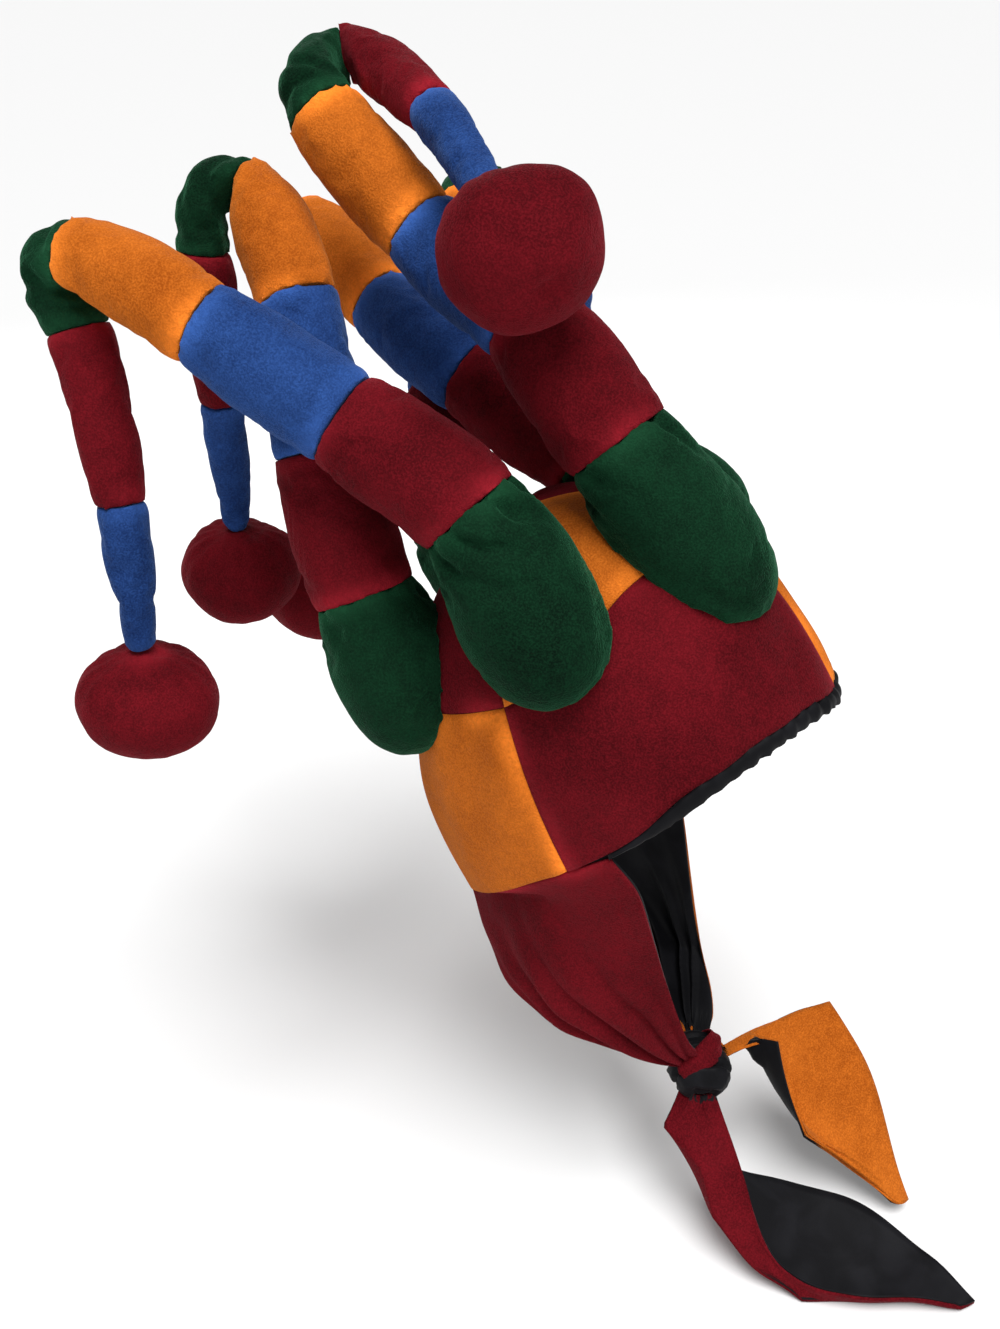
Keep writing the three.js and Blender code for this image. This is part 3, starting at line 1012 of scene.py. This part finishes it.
@dataclass
class Studio:
    """Pale floor, soft light and the camera."""

    floor_drop: float = 1.0 * MM
    floor_half: float = 80.0
    floor_tone: float = 0.76
    lamps: tuple[Lamp, ...] = (
        Lamp("top", "SUN", (-0.7, -0.3, 2.0), 3.7), Lamp("key", "AREA", (-1.5, -0.9, 0.9), 6.0),
        Lamp("rim", "AREA", (1.3, 0.6, 0.9), 9.0),
    )
    sun_angle: float = math.radians(40)
    lamp_size: float = 1.0
    surround: float = 0.24
    sensor: float = 36.0
    azimuth: float = -78.0
    elevation: float = 28.0
    distance: float = 0.667
    focal: float = 1300.0
    image: tuple[int, int] = (1000, 1329)
    origin_at: tuple[float, float] = (650.0, 760.0)

    def build(self) -> None:
        """Makes the room round the hat."""
        low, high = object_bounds()
        self.lay_floor(low.z - self.floor_drop)
        self.hang_lights((low + high) / 2)
        self.set_camera()

    def lay_floor(self, height: float) -> None:
        """A wide pale floor.

        Args:
            height: Where it lies, in metres.
        """
        work = bmesh.new()
        bmesh.ops.create_grid(work, x_segments=1, y_segments=1, size=self.floor_half)
        bmesh.ops.translate(work, verts=work.verts, vec=(0, 0, height))
        mesh = bpy.data.meshes.new("floor")
        work.to_mesh(mesh)
        work.free()
        floor = bpy.data.objects.new("floor", mesh)
        bpy.context.scene.collection.objects.link(floor)
        g = Graph("pale_floor")
        g.shade(Base_Color=(self.floor_tone, self.floor_tone, self.floor_tone, 1.0), Roughness=0.7)
        mesh.materials.append(g.material)
        floor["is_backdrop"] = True

    def hang_lights(self, centre: Vector) -> None:
        """Soft lamps round the hat, and an even surround that is dimmer for the hat than for the camera.

        Args:
            centre: The hat's middle.
        """
        for lamp in self.lamps:
            light = bpy.data.lights.new(lamp.name, lamp.kind)
            light.energy = lamp.power
            if lamp.kind == "SUN":
                light.angle = self.sun_angle
            else:
                light.size = self.lamp_size
            thing = bpy.data.objects.new(lamp.name, light)
            thing.location = centre + Vector(lamp.place)
            thing.rotation_euler = (-Vector(lamp.place)).to_track_quat("-Z", "Y").to_euler()
            bpy.context.scene.collection.objects.link(thing)
        world = bpy.data.worlds.new("surround")
        world.use_nodes = True
        tree = world.node_tree
        seen = tree.nodes.new("ShaderNodeLightPath")
        strength = tree.nodes.new("ShaderNodeMapRange")
        strength.inputs["To Min"].default_value = self.surround
        strength.inputs["To Max"].default_value = 1.0
        tree.links.new(seen.outputs["Is Camera Ray"], strength.inputs["Value"])
        tree.links.new(strength.outputs["Result"], tree.nodes["Background"].inputs["Strength"])
        tree.nodes["Background"].inputs["Color"].default_value = (1.0, 1.0, 1.0, 1.0)
        bpy.context.scene.world = world
        bpy.context.scene.view_settings.view_transform = "Standard"

    def back(self) -> Vector:
        """Direction from the hat towards the camera."""
        bearing, climb = math.radians(self.azimuth), math.radians(self.elevation)
        level = Vector((math.sin(bearing), -math.cos(bearing), 0))
        return level * math.cos(climb) + Vector((0, 0, math.sin(climb)))

    def set_camera(self) -> None:
        """Camera at the photograph's angle, with the head opening's centre where the photograph has it."""
        back = self.back()
        right = Vector((0, 0, 1)).cross(back).normalized()
        up = back.cross(right)
        across = (self.origin_at[0] - self.image[0] / 2) / self.focal
        rise = (self.image[1] / 2 - self.origin_at[1]) / self.focal
        lens = bpy.data.cameras.new("camera")
        lens.sensor_width = self.sensor
        lens.lens = self.sensor * self.focal / max(self.image)
        lens.clip_start, lens.clip_end = 0.01, 200.0
        camera = bpy.data.objects.new("camera", lens)
        turn = Matrix((right, up, back)).transposed().to_4x4()
        camera.matrix_world = Matrix.Translation((back - right * across - up * rise) * self.distance) @ turn
        bpy.context.scene.collection.objects.link(camera)
        bpy.context.scene.camera = camera


HORNS = (
    Horn("right", ("front_right_lower", "front_right_upper")),
    Horn("front", ("front_right_lower", "front_right_upper", "front_left_lower", "front_left_upper")),
    Horn("back", ("back_right_lower", "back_right_upper")),
    Horn("left", ("front_left_lower", "front_left_upper")),
    Horn("back_left", ("back_left_lower", "back_left_upper")),
)


def main() -> None:
    """Builds the hat and its room."""
    logging.basicConfig(level=logging.INFO, format="%(name)s: %(message)s")
    materials = {finish.slot: finish.build() for finish in FINISHES}
    pieces: list[ClothPiece] = []
    for group in (Crown(), *HORNS, Ties()):
        pieces += group.build()
    for piece in pieces:
        piece.prepare()
    scene = bpy.context.scene
    for step in range(1, FRAMES + 1):
        scene.frame_set(step)
    for piece in pieces:
        piece.settle()
        piece.dress(materials)
    studio = Studio()
    TieTurn().build(studio.back(), materials)
    studio.build()


if __name__ == "__main__":
    main()
